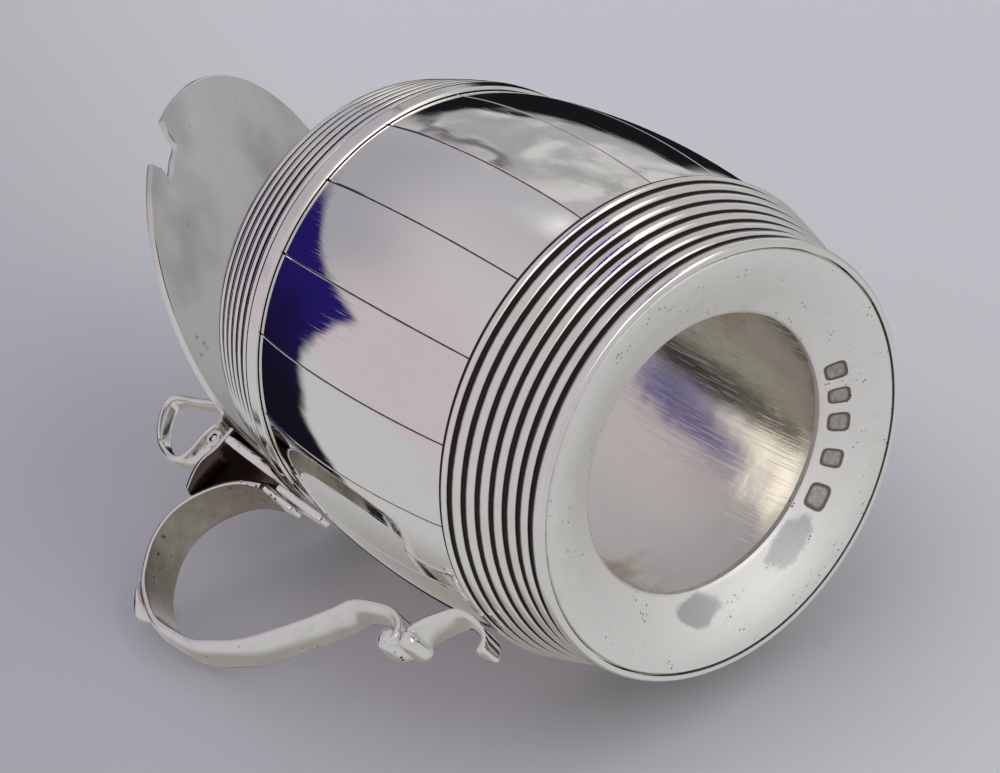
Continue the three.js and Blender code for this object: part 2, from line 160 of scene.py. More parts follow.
NOTCH_START, NOTCH_END = 78.6, 94.5
NOTCH_SHARES = [(0.1, 0.4), (0.15, 0.92), (0.48, 1), (0.99, 0.95), (0.96, 0.35)]
LOOP_HEIGHT = 14.5
LOOP_FOOT = 0.55
LOOP_HALF_WIDTH, LOOP_THICKNESS = 1.4, 1.05
LOOP_SMOOTHINGS = 80
LOOP_SHARES = [
    (0.46, 0), (0.455, 0.18), (0.405, 0.335), (0.28, 0.445), (0.175, 0.555), (0.15, 0.665), (0.27, 0.83),
    (0.45, 0.955), (0.64, 1), (0.81, 1), (0.955, 0.97), (1.02, 0.917), (1.03, 0.85), (0.975, 0.72),
    (0.885, 0.565), (0.83, 0.415), (0.755, 0.265), (0.695, 0.135), (0.69, 0),
]

LINER_HEIGHT = 62
LINER_RIM_RADIUS = 26
LINER_FOOT_RADIUS = 24.6
LINER_WALL = 1.8
LINER_BASE = 4
LINER_FOOT_ROUNDING = 1.5
LINER_WELL_ROUNDING = 3
LINER_FOOT_HOLLOW = [(0.01, 0.6), (16, 0.35), (20, 0)]

# The photograph's camera, in the barrel's own millimetres
CAMERA_PLACE = (57.6, 243.0, -221.3)
CAMERA_RIGHT = Vector((-0.6187, -0.5093, -0.5983))
CAMERA_UP = Vector((-0.7721, 0.5347, 0.3433))
CAMERA_FORWARD = Vector((-0.1450, -0.6744, 0.7240))
CAMERA_LENS = 100.8
TABLE_TILT = math.radians(31)
TABLE_TILT_SLACK = math.radians(12)
ROOM_TILT = math.radians(45)

# The barrel's axis along X, in metres, and the liner's from it, in millimetres
AXIS_X = sum(corner.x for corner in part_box("barrel_body")) / 2
LINER_X = (sum(corner.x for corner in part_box("glass_liner")) / 2 - AXIS_X) / MM


# Curves

def cubic(t, start, end, start_slope, end_slope):
    """The cubic from start to end, with these slopes at its ends, at t from 0 to 1."""
    return (start * (2 * t**3 - 3 * t**2 + 1) + end * (3 * t**2 - 2 * t**3)
            + start_slope * (t**3 - 2 * t**2 + t) + end_slope * (t**3 - t**2))


def smooth_curve(xs, ys, x):
    """A smooth curve through (xs, ys): cubics whose end slopes are the chords of their neighbours."""
    xs, ys, x = (np.asarray(value, float) for value in (xs, ys, x))
    slopes = np.gradient(ys, xs)
    span = np.clip(np.searchsorted(xs, x) - 1, 0, len(xs) - 2)
    width = xs[span + 1] - xs[span]
    t = np.clip((x - xs[span]) / width, 0, 1)
    return cubic(t, ys[span], ys[span + 1], width * slopes[span], width * slopes[span + 1])


def lengths_along(path):
    return np.concatenate([[0], np.cumsum(np.linalg.norm(np.diff(path, axis=0), axis=1))])


def left_of(path):
    """The unit direction square to a path, to the left of the way along it."""
    tangent = np.gradient(path, axis=0)
    tangent /= np.linalg.norm(tangent, axis=1)[:, None]
    return np.stack([-tangent[:, 1], tangent[:, 0]], 1)


def smooth_path(points, steps):
    """Points evenly along a centripetal Catmull-Rom curve, with knots a chord's root apart."""
    points = np.asarray(points, float)
    ends = np.vstack([2 * points[0] - points[1], points, 2 * points[-1] - points[-2]])
    knots = np.sqrt(np.linalg.norm(np.diff(ends, axis=0), axis=1))
    fine = []
    for index in range(len(points) - 1):
        a, b, c, d = ends[index:index + 4]
        before, here, after = knots[index:index + 3]
        first = ((b - a) / before - (c - a) / (before + here) + (c - b) / here) * here
        last = ((c - b) / here - (d - b) / (here + after) + (d - c) / after) * here
        t = np.linspace(0, 1, 24, endpoint=False)[:, None]
        fine.append(cubic(t, b, c, first, last))
    fine = np.vstack(fine + [points[-1:]])
    along = lengths_along(fine)
    even = np.linspace(0, along[-1], steps)
    return np.stack([np.interp(even, along, column) for column in fine.T], 1)


WALL_Z = [share * BARREL_HEIGHT for share, _ in WALL_SHARES]
WALL_ENDS = [FOOT_RADIUS if share < BELLY_HEIGHT_SHARE else MOUTH_RADIUS for share, _ in WALL_SHARES]
WALL_R = [end + (BELLY_RADIUS - end) * swell for end, (_, swell) in zip(WALL_ENDS, WALL_SHARES)]


def wall_radius(height):
    """Radius of the wall's outside at a height."""
    return smooth_curve(WALL_Z, WALL_R, height)


# Meshes

def grid_faces(rows, columns, wrap_rows=False):
    """Quads of a grid of rings, from each point to its right, then up: they look along right x up."""
    row = np.arange(rows if wrap_rows else rows - 1)[:, None]
    column = np.arange(columns)[None, :]
    right = (column + 1) % columns
    here, above = row * columns, (row + 1) % rows * columns
    corners = np.broadcast_arrays(here + column, here + right, above + right, above + column)
    return np.stack(corners, -1).reshape(-1, 4)


def closed_faces(rows, columns, flip=False):
    """The quads of open rings, and an end face on the first ring and on the last."""
    faces = grid_faces(rows, columns).tolist()
    last = (rows - 1) * columns
    faces += [list(range(columns))[::-1], list(range(last, last + columns))]
    return [face[::-1] for face in faces] if flip else faces


def linked(name, data):
    """A new object in the scene."""
    made = bpy.data.objects.new(name, data)
    bpy.context.scene.collection.objects.link(made)
    return made


def add_piece(name, node, points, faces, body="pot", materials=None, sharp=40,
              grime_and_shade=None):
    """A mesh in the frame from points in the barrel's millimetres, standing for its CAD node."""
    mesh = bpy.data.meshes.new(name)
    placed = np.asarray(points, float).reshape(-1, 3) * MM + (AXIS_X, 0, 0)
    mesh.from_pydata(placed.tolist(), [], [list(map(int, face)) for face in faces])
    mesh.shade_smooth()
    mesh.set_sharp_from_angle(angle=math.radians(sharp))
    if grime_and_shade is not None:
        attribute = mesh.attributes.new("grime_and_shade", "FLOAT", "POINT")
        attribute.data.foreach_set("value", np.ravel(grime_and_shade).astype(np.float32))
    for material in materials or [WORN]:
        mesh.materials.append(material)
    made = linked(name, mesh)
    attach(made, body)
    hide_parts(node)
    return made


def turned(profile, columns):
    """A closed ring: each profile point (r, z) at each angle a is (r cos a, r sin a, z)."""
    profile = np.asarray(profile, float)
    angle = np.asarray(columns, float) if np.ndim(columns) else np.arange(columns) * 2 * math.pi / columns
    radius, height = profile[:, :1], profile[:, 1:]
    points = np.stack([
        radius * np.cos(angle), radius * np.sin(angle), np.broadcast_to(height, (len(profile), angle.size)),
    ], -1)
    return points, grid_faces(len(profile), angle.size, wrap_rows=True)


def section_loop(count, corner):
    """A rounded rectangle, (across -1 to 1, through 0 to 1): cos and sin raised to the power corner."""
    turn = np.arange(count) * 2 * math.pi / count
    across = np.sign(np.cos(turn)) * np.abs(np.cos(turn)) ** corner
    through = 0.5 + 0.5 * np.sign(np.sin(turn)) * np.abs(np.sin(turn)) ** corner
    return across, through


def swept(path, half_width, thickness, crown=0, corner=0.4, loop=36, round_ends=(1, 1), lift=0):
    """A bar bent along a path in the handle's plane, its inner face on the path and its body to the left.

    At each station the section is p + n (lift + thickness through (1 - crown across^2)) + y half_width
    across, with n the path's left. Near an end it shrinks by sqrt(1 - u^2), which rounds the end.
    """
    stations, left, along = len(path), left_of(path), lengths_along(path)
    share = along / along[-1]
    width = np.broadcast_to(half_width(share) if callable(half_width) else half_width, stations)
    depth = np.broadcast_to(thickness(share) if callable(thickness) else thickness, stations)
    shrink = np.ones(stations)
    for size, distance in zip(round_ends, (along, along[-1] - along)):
        reach = size * depth / 2
        inside = np.clip(1 - distance / np.maximum(reach, 1e-6), 0, 1)
        shrink *= np.sqrt(1 - (inside * 0.97) ** 2)
    across, through = section_loop(loop, corner)
    rise = depth[:, None] * through * (1 - crown * across**2)
    middle = depth[:, None] / 2 * (1 - crown / 3)
    rise = middle + (rise - middle) * shrink[:, None] + lift
    shift = width[:, None] * across * shrink[:, None]
    points = np.stack([
        path[:, :1] + left[:, :1] * rise, shift, path[:, 1:] + left[:, 1:] * rise,
    ], -1)
    return points.reshape(-1, 3), closed_faces(stations, loop)


def slab(outline, low, high):
    """A plate across the handle's plane from an outline of (x, z), anticlockwise with x right and z up."""
    count = len(outline)
    near = np.stack([outline[:, 0], np.full(count, low), outline[:, 1]], -1)
    far = np.stack([outline[:, 0], np.full(count, high), outline[:, 1]], -1)
    return np.vstack([near, far]), closed_faces(2, count, flip=True)


def joined(*parts):
    """Several closed meshes as one list of points and one of faces."""
    faces, first = [], 0
    for points, part_faces in parts:
        faces += [[first + index for index in face] for face in part_faces]
        first += len(points)
    return np.vstack([points for points, _ in parts]), faces


def on_lid(points):
    """From the closed lid's place round the pin to the open lid, in the barrel's millimetres."""
    x, y, z = points.T
    return np.stack([
        PIN_X + x * math.cos(LID_OPEN) + z * math.sin(LID_OPEN), y,
        PIN_Z - x * math.sin(LID_OPEN) + z * math.cos(LID_OPEN),
    ], -1)


# Nodes of materials

def srgb(red, green, blue):
    """A colour from screen values of 0 to 255, as the linear colour a shader takes."""
    channels = [value / 255 for value in (red, green, blue)]
    return tuple(
        value / 12.92 if value <= 0.04045 else ((value + 0.055) / 1.055) ** 2.4 for value in channels
    ) + (1,)


def put(tree, kind, inputs=None, **settings):
    """A new shader node; each input is a socket to link from or a value to set."""
    made = tree.nodes.new("ShaderNode" + kind)
    for key, value in settings.items():
        setattr(made, key, value)
    for key, value in (inputs or {}).items():
        if isinstance(value, bpy.types.NodeSocket):
            tree.links.new(value, made.inputs[key])
        else:
            made.inputs[key].default_value = value
    return made


def calc(tree, operation, *values, clamp=False):
    """A sum on one, two or three values."""
    inputs = dict(enumerate(values))
    return put(tree, "Math", inputs, operation=operation, use_clamp=clamp).outputs[0]


def times(tree, first, second):
    return calc(tree, "MULTIPLY", first, second)


def plus(tree, first, second, factor=1.0):
    """first + second x factor."""
    return calc(tree, "MULTIPLY_ADD", second, factor, first)


def along(tree, place, axis):
    """How far a place lies along an axis."""
    return put(tree, "VectorMath", {0: place, 1: axis}, operation="DOT_PRODUCT").outputs["Value"]


def between(tree, value, low, high, out_low=0.0, out_high=1.0):
    """A smooth step of value from low to high."""
    return put(tree, "MapRange", {
        "Value": value, "From Min": low, "From Max": high, "To Min": out_low, "To Max": out_high,
    }, interpolation_type="SMOOTHSTEP").outputs[0]


def blend(tree, share, first, second):
    """Two colours mixed by a share."""
    return put(tree, "Mix", {0: share, 6: first, 7: second}, data_type="RGBA").outputs[2]


def noise(tree, place, scale, detail=3.0, roughness=0.5, distortion=0.0):
    """Cloudy noise from 0 to 1 with its mean near 0.5."""
    return put(tree, "TexNoise", {
        "Vector": place, "Scale": scale, "Detail": detail, "Roughness": roughness, "Distortion": distortion,
    }).outputs["Fac"]


def stretched(tree, place, turn, scale):
    """A place turned and scaled, so that a pattern read at it is drawn out."""
    return put(tree, "Mapping", {"Vector": place, "Rotation": turn, "Scale": scale}).outputs[0]


def effect(name, build):
    """A node group that takes a place and gives what build makes of it."""
    group = bpy.data.node_groups.new(name, "ShaderNodeTree")
    group.interface.new_socket("Place", in_out="INPUT", socket_type="NodeSocketVector")
    group.interface.new_socket("Amount", in_out="OUTPUT", socket_type="NodeSocketFloat")
    place = group.nodes.new("NodeGroupInput").outputs["Place"]
    group.links.new(build(group, place), group.nodes.new("NodeGroupOutput").inputs["Amount"])
    return group


def hairlines(tree, place):
    """Fine polishing scratches in four directions: thin ridges of long noise."""
    total = 0.0
    for turn in ((0.3, 0.2, 0.5), (1.2, 0.4, 1.9), (0.7, 1.5, 2.6), (2.0, 0.9, 0.1)):
        line = noise(tree, stretched(tree, place, turn, (5200.0, 90.0, 90.0)), 1.0, 2.0)
        ridge = between(tree, line, 0.6, 0.78)
        total = plus(tree, total, ridge)
    return calc(tree, "MULTIPLY", total, 0.5, clamp=True)


def pitting(tree, place):
    """Scattered pinholes: the middles of a few cells of a fine cell pattern."""
    cells = put(tree, "TexVoronoi", {"Vector": place, "Scale": 1100.0})
    chosen = put(tree, "SeparateColor", {0: cells.outputs["Color"]}).outputs[0]
    rare = calc(tree, "GREATER_THAN", chosen, 0.74)
    hole = between(tree, cells.outputs["Distance"], 0.4, 0.16)
    where = between(tree, noise(tree, place, 120.0, 2.0), 0.52, 0.66)
    return times(tree, times(tree, hole, rare), where)


def tarnishing(tree, place):
    """Cloudy warm stain, in broad drifts broken by finer ones."""
    broad = noise(tree, place, 55.0, 4.0, 0.6, 0.4)
    fine = noise(tree, place, 420.0, 5.0, 0.65)
    return between(tree, plus(tree, broad, fine, 0.35), 0.66, 0.92)


HAIRLINES = effect("polishing hairlines", hairlines)
PITTING = effect("solder pits", pitting)
TARNISHING = effect("warm tarnish", tarnishing)


def group_value(tree, group, place):
    """The value of an effect at a place."""
    return put(tree, "Group", {"Place": place}, node_tree=group).outputs[0]


def new_material(name):
    material = bpy.data.materials.new(name)
    material.use_nodes = True
    tree = material.node_tree
    tree.nodes.clear()
    return material, tree


def bumped(tree, height, inputs):
    """The material's surface: one shader over a bump of this height, in metres."""
    bump = put(tree, "Bump", {"Height": height, "Distance": 1.0, "Strength": 1.0})
    shader = put(tree, "BsdfPrincipled", {"Normal": bump.outputs[0], **inputs})
    put(tree, "OutputMaterial", {"Surface": shader.outputs[0]})


SILVER = srgb(248, 246, 242)
STAIN = srgb(176, 152, 112)
GRIME = srgb(42, 32, 27)
CLOUDY = srgb(186, 185, 184)
RUBBED = srgb(158, 158, 161)
PUNCH_DIRT = srgb(96, 82, 62)

# How deep, in metres, and how rough the marks of wear are
LINE_DEPTH = 0.00002
PIT_DEPTH = 0.00012
STAIN_ROUGHNESS = 0.18
PIT_ROUGHNESS = 0.4
DIRT_ROUGHNESS = 0.45
RUBBED_SMOOTHNESS = 0.16


def silver(name, roughness, line_rough=0.08, line_bump=0.05, waves=0.0, wave_scale=60.0, grain=0.0,
           stain=0.35, cloud=0.0, pits=0.0, pit_scale=1.0, grime_and_shade=0.0, tint=SILVER, dirt_and_shade=GRIME,
           marks=None):
    """Worked silver. Each kind of wear has its share in the colour, the roughness and the bump."""
    material, tree = new_material(name)
    place = put(tree, "TexCoord").outputs["Object"]
    lines = group_value(tree, HAIRLINES, place)
    stained = times(tree, group_value(tree, TARNISHING, place), stain)
    colour = blend(tree, stained, tint, STAIN)
    if cloud:
        soft = between(tree, noise(tree, place, 34.0, 3.0, 0.6), 0.4, 0.66)
        colour = blend(tree, times(tree, soft, cloud), colour, CLOUDY)
    rough = plus(tree, roughness, lines, line_rough)
    rough = plus(tree, rough, stained, STAIN_ROUGHNESS)
    height = times(tree, lines, -LINE_DEPTH * line_bump)
    if waves:
        wave = noise(tree, place, wave_scale, 2.0)
        height = plus(tree, height, wave, waves * MM)
    if grain:
        fine = noise(tree, place, 900.0, 5.0, 0.7)
        height = plus(tree, height, fine, grain * MM)
    if pits:
        spread = stretched(tree, place, (0, 0, 0), (pit_scale, pit_scale, pit_scale))
        holes = times(tree, group_value(tree, PITTING, spread), pits)
        colour = blend(tree, holes, colour, GRIME)
        height = plus(tree, height, holes, -PIT_DEPTH)
        rough = plus(tree, rough, holes, PIT_ROUGHNESS)
    # The attribute read here darkens the colour: real grime in stave lines and seams, old polish in the
    # reeds' grooves, and painted shade on the reeds' upper flanks and under the handle's arch
    if grime_and_shade:
        amount = put(tree, "Attribute", attribute_name="grime_and_shade").outputs["Fac"]
        uneven = calc(tree, "SUBTRACT", noise(tree, place, 700.0, 4.0, 0.6), 0.5)
        ragged = plus(tree, amount, uneven, grime_and_shade)
        dirt_and_shade_share = between(tree, ragged, 0.12, 0.95)
        colour = blend(tree, dirt_and_shade_share, colour, dirt_and_shade)
        rough = plus(tree, rough, dirt_and_shade_share, DIRT_ROUGHNESS)
    if marks:
        punched, worn = marks(tree, place)
        colour = blend(tree, times(tree, worn, 0.6), colour, RUBBED)
        rough = calc(tree, "SUBTRACT", rough, times(tree, worn, RUBBED_SMOOTHNESS))
        colour = blend(tree, times(tree, punched, 0.9), colour, PUNCH_DIRT)
        height = plus(tree, height, punched, -PUNCH_DEPTH * MM)
    bumped(tree, height, {"Base Color": colour, "Roughness": rough, "Metallic": 1.0})
    return material


PUNCH_RADIUS = 20.3
PUNCH_DEPTH = 0.14
PUNCH_ANGLES = (-158.3, -148.0, -137.6, -124.0, -109.3)
PUNCH_HALF_WIDTHS = (1.25, 1.1, 1.3, 1.25, 1.75)
PUNCH_HALF_HEIGHT = 1.35
RUBBED_PATCHES = ((-46, 12), (-91, 13))
RUBBED_HALF_WIDTH = 2.2


def plate_marks(tree, place):
    """Five plain blank punch marks in a row on the plate, and two patches where it is rubbed smooth."""
    def share_of(distance, reach, power):
        return calc(tree, "POWER", calc(tree, "DIVIDE", distance, reach), power)

    def turned_from(middle):
        return calc(tree, "ABSOLUTE", calc(tree, "SUBTRACT", angle, math.radians(middle)))

    x, y, _ = put(tree, "SeparateXYZ", {0: place}).outputs
    x = calc(tree, "SUBTRACT", x, AXIS_X)
    angle = calc(tree, "ARCTAN2", y, x)
    radius = calc(tree, "SQRT", plus(tree, times(tree, x, x), times(tree, y, y)))
    off_row = calc(tree, "ABSOLUTE", calc(tree, "SUBTRACT", radius, PUNCH_RADIUS * MM))
    up = share_of(off_row, PUNCH_HALF_HEIGHT * MM, 4.0)
    punched, floor, worn = 0.0, 0.0, 0.0
    for middle, half_width in zip(PUNCH_ANGLES, PUNCH_HALF_WIDTHS):
        away = plus(tree, up, share_of(turned_from(middle), half_width / PUNCH_RADIUS, 4.0))
        punched = calc(tree, "MAXIMUM", punched, between(tree, away, 1.15, 0.75))
        floor = calc(tree, "MAXIMUM", floor, between(tree, away, 0.45, 0.1))
    rubbed = times(tree, noise(tree, place, 1500.0, 3.0), 0.7)
    dark = calc(tree, "SUBTRACT", punched, times(tree, floor, rubbed))
    cloud = times(tree, noise(tree, place, 190.0, 6.0, 0.7), 3.0)
    across = share_of(off_row, RUBBED_HALF_WIDTH * MM, 2.0)
    for middle, half_width in RUBBED_PATCHES:
        round_it = share_of(turned_from(middle), math.radians(half_width), 2.0)
        away = plus(tree, plus(tree, round_it, across), cloud)
        worn = calc(tree, "MAXIMUM", worn, between(tree, away, 2.4, 1.8))
    return dark, worn


COBALT = srgb(32, 24, 152)
COBALT_PALE = srgb(42, 34, 176)
RIPPLE_HEIGHT = 0.00022
SEED_HEIGHT = 0.00006


def cobalt_glass():
    """Deep blue glass with a slightly rippled, hand-worked surface."""
    material, tree = new_material("cobalt glass")
    place = put(tree, "TexCoord").outputs["Object"]
    ripple = noise(tree, stretched(tree, place, (0, 0, 0), (1.0, 1.0, 0.25)), 160.0, 3.0)
    seeds = put(tree, "TexVoronoi", {"Vector": place, "Scale": 260.0}).outputs["Distance"]
    seed = times(tree, between(tree, seeds, 0.12, 0.0), SEED_HEIGHT)
    height = plus(tree, times(tree, ripple, RIPPLE_HEIGHT), seed)
    deep = blend(tree, between(tree, noise(tree, place, 30.0, 2.0), 0.35, 0.65), COBALT, COBALT_PALE)
    rough = between(tree, noise(tree, place, 400.0, 4.0), 0.5, 0.8, 0.02, 0.09)
    bumped(tree, height, {
        "Base Color": deep, "Roughness": rough, "Metallic": 0.0, "Transmission Weight": 1.0, "IOR": 1.5,
    })
    return material


POLISHED = silver("polished silver", 0.035, line_rough=0.05, line_bump=0.2, waves=0.035, wave_scale=70.0,
                  stain=0.04, grime_and_shade=0.4)
INNER = silver("silver inside the barrel", 0.11, line_rough=0.2, line_bump=0.5, waves=0.05,
               wave_scale=200.0, grain=0.004, stain=0.55, tint=srgb(232, 228, 218))
# The reeds' dark colour is old polish in the groove floors and painted shade on each reed's upper flank
REEDED = silver("reeded silver", 0.09, line_rough=0.05, line_bump=0.3, waves=0.02, stain=0.12, grime_and_shade=0.4,
                dirt_and_shade=srgb(64, 55, 48))
SATIN = silver("satin silver", 0.5, line_rough=0.05, line_bump=0.25, waves=0.02, wave_scale=80.0,
               grain=0.002, stain=0.12, pits=0.8, pit_scale=2.2, grime_and_shade=0.5, dirt_and_shade=srgb(116, 98, 66),
               marks=plate_marks)
LID_SILVER = silver("lid silver", 0.2, line_rough=0.03, line_bump=0.04, waves=1.6, wave_scale=14.0,
                    grain=0.0003, stain=0.15, cloud=0.75, pits=0.25, pit_scale=0.7,
                    tint=srgb(246, 245, 242))
WORN = silver("worn silver", 0.13, line_rough=0.1, line_bump=0.6, waves=0.03, wave_scale=160.0,
              grain=0.002, stain=0.25, pits=1.0, pit_scale=1.3, grime_and_shade=0.15, dirt_and_shade=srgb(112, 94, 66))
# Dark silver for the hinge's web and the flange's underside: tarnish, and a dark tint that is painted shade
RECESS_TARNISH_AND_SHADE = silver("recess with tarnish and painted shade", 0.22, line_rough=0.1, waves=0.1, wave_scale=300.0, stain=0.5, pits=0.5,
                tint=srgb(92, 80, 72))
GLASS = cobalt_glass()


# Barrel

def barrel():
    """The raised wall. Each stave's edge is a V of depth d (1 - |a| / w) across its line's half width w."""
    lip = STAVE_LINE_HALF_WIDTH / BELLY_RADIUS
    stave = 2 * math.pi / STAVE_COUNT
    plain = np.linspace(lip * STAVE_LINE_LIP, stave - lip * STAVE_LINE_LIP, 12)
    offsets = np.concatenate([[0, lip], plain, [stave - lip]])
    starts = (np.arange(STAVE_COUNT) + 0.5) * stave
    angle = (starts[:, None] + offsets).ravel()
    outer = np.concatenate([
        np.linspace(WALL_FOOT, LOWER_BAND_HEIGHT - 0.5, 5), np.linspace(LOWER_BAND_HEIGHT, FILLET_FOOT, 60),
        np.linspace(FILLET_FOOT + 0.5, BARREL_HEIGHT - MOUTH_ROUNDING, 8), [BARREL_HEIGHT],
    ])
    mouth = [BARREL_HEIGHT, BARREL_HEIGHT - MOUTH_ROUNDING]
    inner = np.concatenate([mouth, np.linspace(67, WALL_FOOT, 60)])
    outside = np.stack([wall_radius(outer) - np.where(outer == BARREL_HEIGHT, MOUTH_ROUNDING, 0), outer], 1)
    thin = np.where(inner == BARREL_HEIGHT, WALL_THICKNESS - MOUTH_ROUNDING, WALL_THICKNESS)
    inside = np.stack([wall_radius(inner) - thin, inner], 1)
    points, faces = turned(np.vstack([outside, inside]), angle)
    line = np.isin(np.arange(angle.size) % offsets.size, 0)
    cut = np.zeros(points.shape[:2])
    belly = (outside[:, 1] > LOWER_BAND_HEIGHT - 1) & (outside[:, 1] < FILLET_FOOT + 1)
    cut[:len(outside)][np.ix_(belly, line)] = 1
    radial = np.stack([np.cos(angle), np.sin(angle), np.zeros(angle.size)], -1)
    points = points - radial * (cut * STAVE_LINE_DEPTH)[..., None]
    made = add_piece("barrel_wall", "barrel_body", points, faces,
                     materials=[POLISHED, INNER], sharp=28, grime_and_shade=cut)
    row = np.arange(len(faces)) // angle.size
    made.data.polygons.foreach_set("material_index", (row >= len(outside)).astype(np.int32))


def reed_profile(low, high, groove_shares, steps=16):
    """Reeds on the wall, r = wall + groove + (crest - groove) b, with the crest a share c of the way up.

    Below the crest b = sqrt(1 - (1 - t/c)^2), a round flank, and above it b = 1 - ((t - c)/(f - c))^2 until
    it meets the groove's floor at f. The floor is dark with old polish, the upper flank with painted shade.
    """
    grooves = [low + (high - low) * share for share in groove_shares]
    outside, dirt_and_shade = [], []
    for start, end in zip(grooves, grooves[1:]):
        t = (1 - np.cos(np.linspace(0, math.pi, steps, endpoint=False))) / 2
        height = start + (end - start) * t
        below = np.sqrt(np.clip(1 - (1 - t / REED_CREST_SHARE) ** 2, 0, 1))
        above = np.clip(1 - ((t - REED_CREST_SHARE) / (REED_FOOT_SHARE - REED_CREST_SHARE)) ** 2, 0, 1)
        bulge = np.where(t < REED_CREST_SHARE, below, above)
        radius = wall_radius(height) + REED_GROOVE + (REED_CREST - REED_GROOVE) * bulge
        outside += list(zip(radius, height))
        foot = (0.05 - t) / 0.04 * (start > low)
        # Painted shade: from each crest up, the upper flank is darkened, and the darkening runs on over the
        # groove floor, where it stands for old polish
        flank = (t - REED_CREST_SHARE) / 0.26
        dirt_and_shade += list(np.clip(np.maximum(flank, foot), 0, 1))
    outside.append((float(wall_radius(high)) + REED_GROOVE, high))
    dirt_and_shade.append(0.6)
    return outside, dirt_and_shade


def reeded_band(name, low, high, groove_shares):
    """A hoop of reeds that stands off the wall by its solder."""
    outside, dirt_and_shade = reed_profile(low, high, groove_shares)
    height = np.linspace(high, low, 14)
    inside = list(zip(wall_radius(height) + BAND_CLEARANCE - 0.02, height))
    points, faces = turned(outside + inside, BAND_COLUMNS)
    grime_and_shade = np.repeat(np.array(dirt_and_shade + [0.0] * len(inside))[:, None], BAND_COLUMNS, 1)
    add_piece(name + "_reeds", name, points, faces, materials=[REEDED], sharp=50,
              grime_and_shade=grime_and_shade)


def plain_fillet():
    """The flat hoop under the upper reeds: its face is nearly upright, and its edges are softened."""
    low, high = FILLET_FOOT, REEDS_FOOT - BAND_CLEARANCE
    height = np.linspace(low + 0.15, high - 0.15, 8)
    foot_radius = float(wall_radius(low)) + FILLET_THICKNESS * 0.6
    top_radius = float(wall_radius(high)) + FILLET_THICKNESS * 1.2
    face = foot_radius + (top_radius - foot_radius) * (height - low) / (high - low)
    outside = [(foot_radius - 0.15, low)] + list(zip(face, height)) + [(top_radius - 0.15, high)]
    back = np.linspace(high, low, 8)
    points, faces = turned(outside + list(zip(wall_radius(back) + BAND_CLEARANCE, back)), BAND_COLUMNS)
    grime_and_shade = np.zeros(points.shape[:2])
    grime_and_shade[0] = 0.3
    add_piece("plain_fillet", "upper_plain_fillet", points, faces,
              materials=[REEDED], sharp=50, grime_and_shade=grime_and_shade)


def base_plate():
    """The dished plate. Its hole is cut by hand, so its radius wavers by a few tenths."""
    inward, rise = np.array(DISH_SHARES).T
    shares = np.linspace(1, 0, 40)
    radius = PLATE_RADIUS + (HOLE_RADIUS - PLATE_RADIUS) * shares
    under = DISH_RISE * smooth_curve(inward, rise, shares)
    lower = list(zip(radius[:-1], under[:-1])) + [(PLATE_RADIUS - 0.2, 0.03), (PLATE_RADIUS, 0.25)]
    upper = [(r, z + PLATE_THICKNESS) for r, z in list(zip(radius, under))[::-1]]
    lower[0] = (HOLE_RADIUS, under[0] + 0.12)
    lower.insert(1, (HOLE_RADIUS + 0.12, float(under[0])))
    points, faces = turned(lower + upper, BAND_COLUMNS)
    angle = np.arctan2(points[..., 1], points[..., 0])
    waver = sum(size * np.sin(count * angle + start) for size, count, start in HOLE_WAVERS)
    reach = np.hypot(points[..., 0], points[..., 1])
    share = np.clip((PLATE_RADIUS - reach) / (PLATE_RADIUS - HOLE_RADIUS), 0, 1)
    for axis, way in ((0, np.cos(angle)), (1, np.sin(angle))):
        points[..., axis] += way * waver * share**4
    grime_and_shade = np.zeros(points.shape[:2])
    grime_and_shade[len(lower) - 1] = 0.42
    add_piece("base_disc", "base_plate", points, faces, materials=[SATIN], grime_and_shade=grime_and_shade)


# Handle

def bulb(x, z, radius, half_width, blunt=0.6):
    """A rolled end across the strap: rings of radius r cos(v)^blunt at y = half_width sin(v)^blunt."""
    rise = np.linspace(-math.pi / 2, math.pi / 2, 25)[1:-1]
    ring = radius * np.cos(rise) ** blunt
    side = half_width * np.sign(np.sin(rise)) * np.abs(np.sin(rise)) ** blunt
    turn = np.arange(32) * math.pi / 16
    points = np.stack([
        x + ring[:, None] * np.cos(turn), np.broadcast_to(side[:, None], (ring.size, turn.size)),
        z + ring[:, None] * np.sin(turn),
    ], -1)
    return points.reshape(-1, 3), closed_faces(ring.size, turn.size, flip=True)


def scroll_path(steps):
    """The inner face of the main scroll, from the joint plate to the hook."""
    return smooth_path([
        (HANDLE_ROOT + HANDLE_REACH * reach, HANDLE_FOOT + (ARCH_TOP - HANDLE_FOOT) * rise)
        for reach, rise in SCROLL_SHARES
    ], steps)


def step_smooth(share, low, high):
    """A smooth step t^2 (3 - 2 t) from low to high."""
    t = np.clip((share - low) / (high - low), 0, 1)
    return t * t * (3 - 2 * t)


